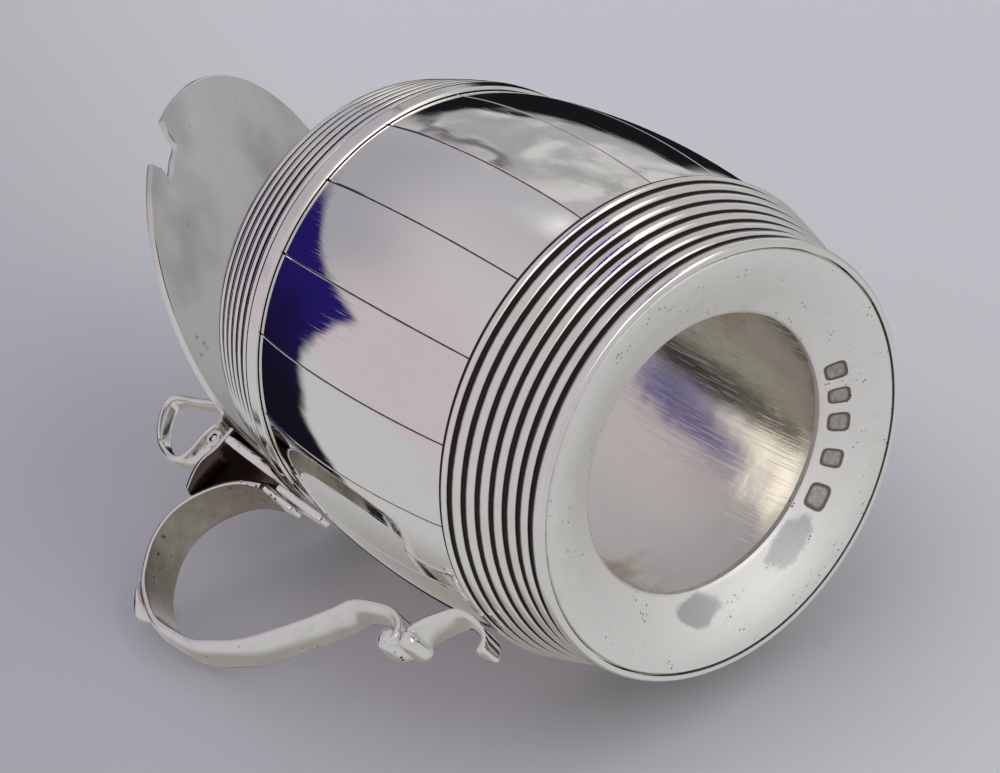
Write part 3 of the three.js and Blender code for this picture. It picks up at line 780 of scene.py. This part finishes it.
def main_scroll():
    """The strap; it narrows towards its hook, and the hook's end is rolled over into a bulb."""
    def half_width(share):
        return STRAP_HALF_WIDTH + (STRAP_END_HALF_WIDTH - STRAP_HALF_WIDTH) * step_smooth(share, 0.35, 1)

    def thickness(share):
        return STRAP_THICKNESS * (1 + 0.2 * step_smooth(share, 0.92, 0.98))

    stations, loop = 260, 44
    strap = swept(scroll_path(stations), half_width, thickness, STRAP_CROWN, STRAP_CORNER, loop, (0.5, 1))
    inside = section_loop(loop, STRAP_CORNER)[1] < 0.2
    # Painted shade, with some tarnish: the inner face of the arch, near the joint, is darkened with warm
    # brown
    arch = 0.65 * (1 - step_smooth(np.linspace(0, 1, stations), 0.3, 0.55))
    hook = bulb(*HOOK_BULB, STRAP_END_HALF_WIDTH + BULB_OVERHANG)
    points, faces = joined(strap, hook)
    grime_and_shade = np.zeros(len(points))
    grime_and_shade[:stations * loop] = np.outer(arch, inside).ravel()
    add_piece("main_scroll", "handle_main_scroll", points, faces, grime_and_shade=grime_and_shade)


def spur():
    """A bud lying on the arch's outside, thickening along the strap and rounded off at its tip."""
    def half_width(share):
        return SPUR_HALF_WIDTH * (0.55 + 0.45 * np.sin(math.pi * np.clip(share * 0.75 + 0.1, 0, 1)))

    def thickness(share):
        return SPUR_ROOT_THICKNESS + SPUR_SWELL * step_smooth(share, 0, 0.78)

    stations = 800
    path = scroll_path(stations)[int(SPUR_START * stations):int(SPUR_END * stations)]
    points, faces = swept(path, half_width, thickness, 0.5, 0.6, 28, (1, 1.1), lift=STRAP_THICKNESS * 0.93)
    add_piece("bud", "handle_spur", points, faces)


def lower_scroll():
    """The C-shaped strap between the hook and the belly."""
    def half_width(share):
        return LOWER_SCROLL_HALF_WIDTH + (LOWER_SCROLL_FOOT_HALF_WIDTH - LOWER_SCROLL_HALF_WIDTH) * share

    def thickness(share):
        return LOWER_SCROLL_THICKNESS * (1 + 0.7 * step_smooth(share, 0.86, 0.96))

    path = smooth_path([
        (LOWER_SCROLL_CROWN_X + (LOWER_SCROLL_HOOK_X - LOWER_SCROLL_CROWN_X) * reach,
         LOWER_SCROLL_TOP + LOWER_SCROLL_HEIGHT * drop) for reach, drop in LOWER_SCROLL_SHARES
    ], 120)
    strap = swept(path, half_width, thickness, 0.35, STRAP_CORNER, 36, (1, 0.5))
    points, faces = joined(strap, bulb(*LOWER_BULB, 2.7))
    add_piece("lower_scroll", "handle_lower_scroll", points, faces)


def leaf(name, node, face_x, foot, top, half_width, thickness):
    """A pointed plate whose half width grows with the root of its height."""
    def width(share):
        return LEAF_TIP_HALF_WIDTH + (half_width - LEAF_TIP_HALF_WIDTH) * np.sqrt(share)

    path = np.linspace((face_x, foot), (face_x, top), 60)
    points, faces = swept(path, width, thickness, 0, 0.35, 32, (1, 0.5))
    add_piece(name, node, points, faces)


# Hinge

def hinge_block():
    """Back plate on the band, flange over to the arch, and the web between them."""
    def through_pairs(pairs):
        return lambda share: smooth_curve(*zip(*pairs), share)

    loop, corner = 36, 0.3
    flange_path = smooth_path(FLANGE_PATH, 60)
    flange = swept(flange_path, through_pairs(FLANGE_HALF_WIDTHS), FLANGE_THICKNESS, 0, corner, loop,
                   (0.3, 1))
    plate_path = np.linspace((HINGE_PLATE_X, HINGE_PLATE_FOOT), (HINGE_PLATE_X, HINGE_PLATE_TOP), 50)
    band = wall_radius(plate_path[:, 1]) + REED_CREST + HINGE_PLATE_CLEARANCE
    plate_thickness = np.minimum(HINGE_PLATE_X - band, HINGE_PLATE_THICKNESS)
    plate = swept(plate_path, through_pairs(HINGE_PLATE_HALF_WIDTHS), plate_thickness, 0, corner, loop,
                  (0.4, 0.3))
    arch = scroll_path(400)[:int(0.155 * 400)]
    outer = arch + left_of(arch) * (STRAP_THICKNESS + 0.1)
    under = flange_path[::-1]
    under = under[under[:, 0] > WEB_X + 0.2]
    outline = np.vstack([[(WEB_X, outer[0][1])], outer[::4], under[::6], [(WEB_X, WEB_TOP)]])
    web = slab(outline, -WEB_HALF_WIDTH, WEB_HALF_WIDTH)
    points, faces = joined(flange, plate, web)
    made = add_piece("hinge_bracket", "hinge_block", points, faces, materials=[WORN, RECESS_TARNISH_AND_SHADE], sharp=45)
    # The web and the flange's underside take the dark silver as painted shade
    index = np.arange(len(faces))
    in_web = index >= len(faces) - len(web[1])
    through = section_loop(loop, corner)[1]
    in_flange = index < (len(flange_path) - 1) * loop
    under_side = in_flange & (np.maximum(through, np.roll(through, -1))[index % loop] < 0.3)
    made.data.polygons.foreach_set("material_index", (in_web | under_side).astype(np.int32))


def laid_over(points):
    """Turned points with their axis laid along Y."""
    return points[..., [1, 2, 0]].reshape(-1, 3)


def tube(half_width, centre, outer, inner, columns=48):
    """A short tube round the Y axis with rounded edges."""
    edge = half_width - KNUCKLE_EDGE
    profile = [(outer - KNUCKLE_EDGE, -half_width), (outer, -edge), (outer, edge),
               (outer - KNUCKLE_EDGE, half_width), (inner, half_width), (inner, -half_width)]
    points, faces = turned(profile, columns)
    return laid_over(points) + (0, centre, 0), faces


def knuckles():
    """Two knuckles soldered to the bracket, and the lid's own between them."""
    bore = PIN_RADIUS + KNUCKLE_GAP
    side = (HINGE_HALF_WIDTH - LID_KNUCKLE_HALF_WIDTH - KNUCKLE_GAP) / 2
    for name, way in (("left", -1), ("right", 1)):
        points, faces = tube(side, way * (HINGE_HALF_WIDTH - side), KNUCKLE_RADIUS, bore)
        add_piece("knuckle_" + name, "hinge_knuckle_" + name, points + (PIN_X, 0, PIN_Z), faces)
    points, faces = tube(LID_KNUCKLE_HALF_WIDTH, 0, KNUCKLE_RADIUS, bore)
    add_piece("knuckle_of_lid", "hinge_knuckle_lid", on_lid(points), faces, "lid")


def hinge_pin():
    """The pin, with slightly domed ends."""
    columns = 32
    dome = [(0.04, 0), (0.6, 0.04), (0.92, 0.16), (1, 0.3)]
    ends = [(PIN_RADIUS * share, inset - HINGE_HALF_WIDTH) for share, inset in dome]
    profile = ends + [(radius, -height) for radius, height in ends[::-1]]
    points, _ = turned(profile, columns)
    points = laid_over(points) + (PIN_X, 0, PIN_Z)
    add_piece("pin", "hinge_pin", points, closed_faces(len(profile), columns))


# Lid

def lid_outline():
    """The lid's edge in its own plane, with the pin at the origin: a circle, then the spoon notch."""
    def placed(degrees, radius):
        angle = np.radians(degrees)
        return np.stack([-radius * np.cos(angle) - PIN_X, radius * np.sin(angle)], 1)

    rim = placed(np.linspace(NOTCH_END, 360 + NOTCH_START, 300)[1:-1], LID_RADIUS)
    share, depth = np.array([(0, 0)] + NOTCH_SHARES + [(1, 0)]).T
    notch = placed(NOTCH_START + (NOTCH_END - NOTCH_START) * share, LID_RADIUS - NOTCH_DEPTH * depth)
    return np.vstack([rim, smooth_path(notch, 48)])


def lid_plate():
    """The flat lid with a softened edge: rings of its outline, each moved inwards a little."""
    outline = lid_outline()
    count = len(outline)
    after = np.roll(outline, -1, 0) - np.roll(outline, 1, 0)
    inward = np.stack([-after[:, 1], after[:, 0]], 1)
    inward /= np.linalg.norm(inward, axis=1)[:, None]
    inward *= np.sign(np.sum(inward * ((-PIN_X, 0) - outline), 1))[:, None]
    levels = LID_EDGE_LEVELS + [(inset, LID_THICKNESS - rise) for inset, rise in LID_EDGE_LEVELS[::-1]]
    rings = [np.column_stack([outline + inward * inset, np.full(count, LID_UNDERSIDE + rise)])
             for inset, rise in levels]
    faces = closed_faces(len(levels), count, flip=True)
    made = add_piece("lid_disc", "lid_plate", on_lid(np.vstack(rings)), faces, "lid",
                     [LID_SILVER])
    for cap in made.data.polygons[-2:]:
        cap.use_smooth = False


def lid_strap():
    """The plate under the loop's feet, twice as wide at the hinge as at its tip."""
    def half_width(share):
        return HINGE_HALF_WIDTH * (1 + share) / 2

    start, under = LID_STRAP_START, LID_UNDERSIDE + LID_THICKNESS + 0.1
    path = np.linspace((start - LID_STRAP_LENGTH, under), (start, under), 40)
    points, faces = swept(path, half_width, LID_STRAP_THICKNESS, 0, 0.3, 36, (0.6, 0.6))
    add_piece("lid_strap", "lid_hinge_strap", on_lid(points), faces, "lid")


def thumb_loop():
    """The thumbpiece: a strap bent into a loop with both its feet on the lid's strap."""
    path = smooth_path([
        (-LOOP_HEIGHT * back, LOOP_FOOT + LOOP_HEIGHT * up) for back, up in LOOP_SHARES
    ], 200)
    for _ in range(LOOP_SMOOTHINGS):
        path[1:-1] = (path[:-2] + 2 * path[1:-1] + path[2:]) / 4
    points, faces = swept(path, LOOP_HALF_WIDTH, LOOP_THICKNESS, 0, 0.8, 32, (0.2, 0.2))
    add_piece("thumb_loop", "thumbpiece_loop", on_lid(points), faces, "lid")


# Liner

def glass_liner():
    """A thick cup: its lip is a half round of the wall's thickness, and its foot has a rounded edge."""
    def rounded(x, z, radius, start, end, steps):
        angle = np.linspace(start, end, steps)
        return np.stack([x + radius * np.cos(angle), z + radius * np.sin(angle)], 1)

    quarter = math.pi / 2
    lip, foot, well = LINER_WALL / 2, LINER_FOOT_ROUNDING, LINER_WELL_ROUNDING
    profile = np.vstack([
        LINER_FOOT_HOLLOW,
        rounded(LINER_FOOT_RADIUS - foot, foot, foot, -quarter, 0, 8),
        rounded(LINER_RIM_RADIUS - lip, LINER_HEIGHT - lip, lip, 0, 2 * quarter, 12),
        rounded(LINER_FOOT_RADIUS - LINER_WALL - well, LINER_BASE + well, well, 0, -quarter, 10),
        [(LINER_FOOT_HOLLOW[0][0], LINER_BASE)],
    ])
    columns = 160
    points, _ = turned(profile, columns)
    points = points.reshape(-1, 3) + (LINER_X, 0, 0)
    faces = closed_faces(len(profile), columns)
    made = add_piece("blue_liner", "glass_liner", points, faces, "liner", [GLASS])
    made.visible_glossy = False


barrel()
reeded_band("lower_reeded_band", 0, LOWER_BAND_HEIGHT, LOWER_GROOVE_SHARES)
reeded_band("upper_reeded_band", REEDS_FOOT, BARREL_HEIGHT, np.linspace(0, 1, UPPER_REED_COUNT + 1))
plain_fillet()
base_plate()
main_scroll()
spur()
lower_scroll()
leaf("joint_leaf", "body_joint_plate", **JOINT_LEAF)
leaf("handle_drop", "handle_upper_drop", **HANDLE_DROP)
hinge_block()
knuckles()
hinge_pin()
lid_plate()
lid_strap()
thumb_loop()
glass_liner()


# Stage: the photograph's table, a floor for every other view, and the studio

def camera_tilted(angle):
    """The up of a level plane that the camera looks down on at an angle."""
    return math.cos(angle) * CAMERA_UP - math.sin(angle) * CAMERA_FORWARD


def table_up():
    """The photograph's table: the pot rests on its hull's widest face near the guessed tilt."""
    guess = camera_tilted(TABLE_TILT)
    near = math.cos(TABLE_TILT_SLACK)
    shape = bmesh.new()
    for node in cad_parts.values():
        if node.name != "glass_liner":
            for vertex in node.data.vertices:
                shape.verts.new(vertex.co)
    hull = bmesh.ops.convex_hull(shape, input=shape.verts)
    faces = [item for item in hull["geom"] if isinstance(item, bmesh.types.BMFace)]
    for face in faces:
        face.normal_update()
    lowest = max(faces, key=lambda face: face.calc_area() if -face.normal.dot(guess) > near else 0)
    up, point = -lowest.normal.copy(), lowest.verts[0].co.copy()
    shape.free()
    return up, point


TABLE_UP, TABLE_POINT = table_up()
TABLE_RIGHT = (CAMERA_RIGHT - TABLE_UP * CAMERA_RIGHT.dot(TABLE_UP)).normalized()
TABLE_AWAY = TABLE_UP.cross(TABLE_RIGHT)
ROOM_UP = camera_tilted(ROOM_TILT)
ROOM_AWAY = ROOM_UP.cross(CAMERA_RIGHT)


def sheet_mesh(name, size, material, matrix):
    """A square sheet that only the camera sees, size each way from its middle."""
    mesh = bpy.data.meshes.new(name)
    corners = [matrix @ Vector((x * size, y * size, 0)) for x, y in ((-1, -1), (1, -1), (1, 1), (-1, 1))]
    mesh.from_pydata([corner[:] for corner in corners], [], [(0, 1, 2, 3)])
    mesh.materials.append(material)
    made = linked(name, mesh)
    for setting in ("visible_diffuse", "visible_glossy", "visible_transmission", "visible_shadow"):
        setattr(made, setting, False)


PALE = srgb(239, 243, 246)
PALE_SHADED = srgb(206, 206, 211)
# The colour of the painted shadow under the pot
PAINTED_SHADOW_NEAR_FOOT = srgb(204, 202, 207)
FLOOR_GLOW = srgb(206, 208, 211)
FLOOR_GLOW_SHARE = 0.45
LIT_SIDE = (CAMERA_RIGHT + CAMERA_UP * 0.8).normalized()
CLEARANCE_UNDER_TABLE = 0.0001
FLOOR_HEIGHT = -0.0002
UNDER_SHEET_HEIGHT = -0.15


def paper(name, centre, inner, outer, seen=None, lift=0.0):
    """Pale paper, paler on its lit side, painted with a shadow round its centre, fading out from it, and
    shown where seen is 1.
    """
    material, tree = new_material(name)
    geometry = put(tree, "NewGeometry")
    place = geometry.outputs["Position"]
    away = put(tree, "VectorMath", {0: place, 1: centre}, operation="DISTANCE").outputs["Value"]
    shown = between(tree, away, outer, inner)
    shown = times(tree, shown, calc(tree, "SUBTRACT", 1.0, geometry.outputs["Backfacing"]))
    if seen:
        shown = times(tree, shown, seen(tree))
    shade = blend(tree, between(tree, along(tree, place, LIT_SIDE), -0.07, 0.06), PALE_SHADED, PALE)
    # Painted shadow: the paper darkens within a few centimetres of its centre, under the pot
    shade = blend(tree, between(tree, away, 0.07, 0.02), shade, PAINTED_SHADOW_NEAR_FOOT)
    pale = put(tree, "BsdfDiffuse", {"Color": shade})
    clear = put(tree, "BsdfTransparent")
    glow = put(tree, "Emission", {"Color": FLOOR_GLOW, "Strength": 1.0})
    lifted = put(tree, "MixShader", {0: lift, 1: pale.outputs[0], 2: glow.outputs[0]})
    mixed = put(tree, "MixShader", {0: shown, 1: clear.outputs[0], 2: lifted.outputs[0]})
    put(tree, "OutputMaterial", {"Surface": mixed.outputs[0]})
    return material


def through_under_sheet(tree):
    """1 for a ray that has come up through the clear sheet under the object."""
    depth = put(tree, "LightPath").outputs["Transparent Depth"]
    return calc(tree, "GREATER_THAN", depth, 0.5)


def stage():
    """The table under the lying pot, the floor under the standing one, and the clear sheet below both."""
    pot_middle = Vector((AXIS_X, 0, BARREL_HEIGHT / 2 * MM))
    foot = pot_middle - TABLE_UP * (pot_middle - TABLE_POINT).dot(TABLE_UP)
    turn = Matrix((TABLE_RIGHT, TABLE_AWAY, TABLE_UP)).transposed().to_4x4()
    table_paper = paper("table paper", foot, 0.3, 0.55, through_under_sheet)
    table_place = Matrix.Translation(foot - TABLE_UP * CLEARANCE_UNDER_TABLE)
    sheet_mesh("table", 0.6, table_paper, table_place @ turn)
    floor_middle = Vector((0, 0, FLOOR_HEIGHT))
    floor_paper = paper("floor paper", floor_middle, 0.5, 1.5, lift=FLOOR_GLOW_SHARE)
    sheet_mesh("floor", 1.6, floor_paper, Matrix.Translation(floor_middle))
    material, tree = new_material("clear sheet")
    clear = put(tree, "BsdfTransparent")
    put(tree, "OutputMaterial", {"Surface": clear.outputs[0]})
    sheet_mesh("under_sheet", 1.0, material, Matrix.Translation((0, 0, UNDER_SHEET_HEIGHT)))


def patch(tree, azimuth, height, left, right, low, high, soft):
    """1 inside a range of azimuth and height, in degrees, with soft edges."""
    inside = 1.0
    for angle, edge, reach in ((azimuth, left, soft), (azimuth, right, -soft),
                               (height, low, soft), (height, high, -soft)):
        inside = times(tree, inside, between(tree, angle, edge - reach, edge + reach))
    return inside


ROOM_LEFT, ROOM_AHEAD, ROOM_RIGHT = srgb(196, 191, 198), srgb(180, 178, 186), srgb(186, 187, 188)
ROOM_ROSE = srgb(194, 184, 191)
ROOM_TABLE, ROOM_TABLE_EDGE = srgb(190, 191, 193), srgb(150, 146, 142)
CLOTH_SHADED, CLOTH_LIT, CREASE = srgb(164, 163, 164), srgb(204, 203, 204), srgb(112, 110, 112)
GREY_CARD, BLACK_CARD = srgb(158, 158, 161), srgb(22, 23, 26)
BLUE_LOW, BLUE_HIGH, BLUE_OVERHEAD = srgb(20, 17, 30), srgb(32, 24, 96), srgb(48, 40, 146)
BACKDROP = srgb(190, 194, 197)

LEFT_SHADE, CEILING_STRIP = srgb(164, 162, 170), srgb(232, 232, 231)
WINDOW, WARM_WINDOW = (1.5, 1.5, 1.5, 1), (1.45, 1.38, 1.26, 1)


def studio():
    """A pale soft room by direction: azimuth 0 is away from the photograph's camera, + to its right."""
    world = bpy.data.worlds.new("studio")
    bpy.context.scene.world = world
    world.use_nodes = True
    tree = world.node_tree
    tree.nodes.clear()
    way = put(tree, "TexCoord").outputs["Generated"]
    right, ahead, up = [along(tree, way, axis) for axis in (CAMERA_RIGHT, ROOM_AWAY, ROOM_UP)]
    azimuth = times(tree, calc(tree, "ARCTAN2", right, ahead), 180 / math.pi)
    height = times(tree, calc(tree, "ARCSINE", up), 180 / math.pi)
    wander = calc(tree, "SUBTRACT", noise(tree, way, 5.0, 2.0), 0.5)

    def wandering(angle, reach):
        return plus(tree, angle, wander, reach)

    rough_azimuth, rough_height = wandering(azimuth, 22.0), wandering(height, 24.0)
    colour = blend(tree, between(tree, azimuth, -75, -20), ROOM_LEFT, ROOM_AHEAD)
    colour = blend(tree, between(tree, azimuth, 20, 70), colour, ROOM_RIGHT)
    colour = blend(tree, patch(tree, azimuth, height, -112, -56, -40, 26, 12), colour, ROOM_ROSE)
    colour = blend(tree, between(tree, height, -13, -15), colour, ROOM_TABLE)
    colour = blend(tree, between(tree, height, -44, -66), colour, ROOM_TABLE_EDGE)
    folds = noise(tree, stretched(tree, way, (0.4, 0.2, 0.0), (1.0, 0.55, 1.0)), 5.5, 4.0, 0.55, 1.2)
    cloth = blend(tree, between(tree, folds, 0.36, 0.62), CLOTH_SHADED, CLOTH_LIT)
    cloth = blend(tree, patch(tree, rough_azimuth, height, -15.5, -13, -10, 24, 1.2), cloth, CREASE)
    blue = blend(tree, between(tree, wandering(height, 26.0), -34, 2), BLUE_LOW, BLUE_HIGH)

    # Patches over the room: left, right, low and high in degrees, how soft their edges are, and colour
    for across, rise, left, right, low, high, soft, tone in (
        (azimuth, height, -64, -16, -4, 22, 10, LEFT_SHADE),
        (azimuth, height, -29, -17, 40, 50, 6, CEILING_STRIP),
        (azimuth, height, 100, 152, 24, 72, 9, WINDOW),
        (azimuth, height, 38, 104, 48, 86, 7, WARM_WINDOW),
        (rough_azimuth, rough_height, -17, 34, -12, 34, 1.2, cloth),
        (azimuth, rough_height, 26, 72, -30, -3, 6, GREY_CARD),
        (azimuth, rough_height, -13, 15, -64, -6, 2, BLACK_CARD),
        (wandering(azimuth, 9.0), height, -73.5, -34, -47, 4, 1.2, blue),
        (azimuth, wandering(height, 12.0), 34, 142, 67.5, 86, 1.5, BLUE_OVERHEAD),
    ):
        colour = blend(tree, patch(tree, across, rise, left, right, low, high, soft), colour, tone)
    lit = put(tree, "Background", {"Color": colour, "Strength": 1.0})
    plain = put(tree, "Background", {"Color": BACKDROP, "Strength": 1.0})
    camera_ray = put(tree, "LightPath").outputs["Is Camera Ray"]
    mixed = put(tree, "MixShader", {0: camera_ray, 1: lit.outputs[0], 2: plain.outputs[0]})
    put(tree, "OutputWorld", {"Surface": mixed.outputs[0]})


def camera():
    """The photograph's camera, at the place worked out from the ellipses in it."""
    data = bpy.data.cameras.new("camera")
    data.lens = CAMERA_LENS
    made = linked("camera", data)
    place = Vector(CAMERA_PLACE) * MM + Vector((AXIS_X, 0, 0))
    turn = Matrix((CAMERA_RIGHT, CAMERA_UP, -CAMERA_FORWARD)).transposed().to_4x4()
    made.matrix_world = Matrix.Translation(place) @ turn
    bpy.context.scene.camera = made


stage()
studio()
camera()
bpy.context.scene.view_settings.view_transform = "Standard"
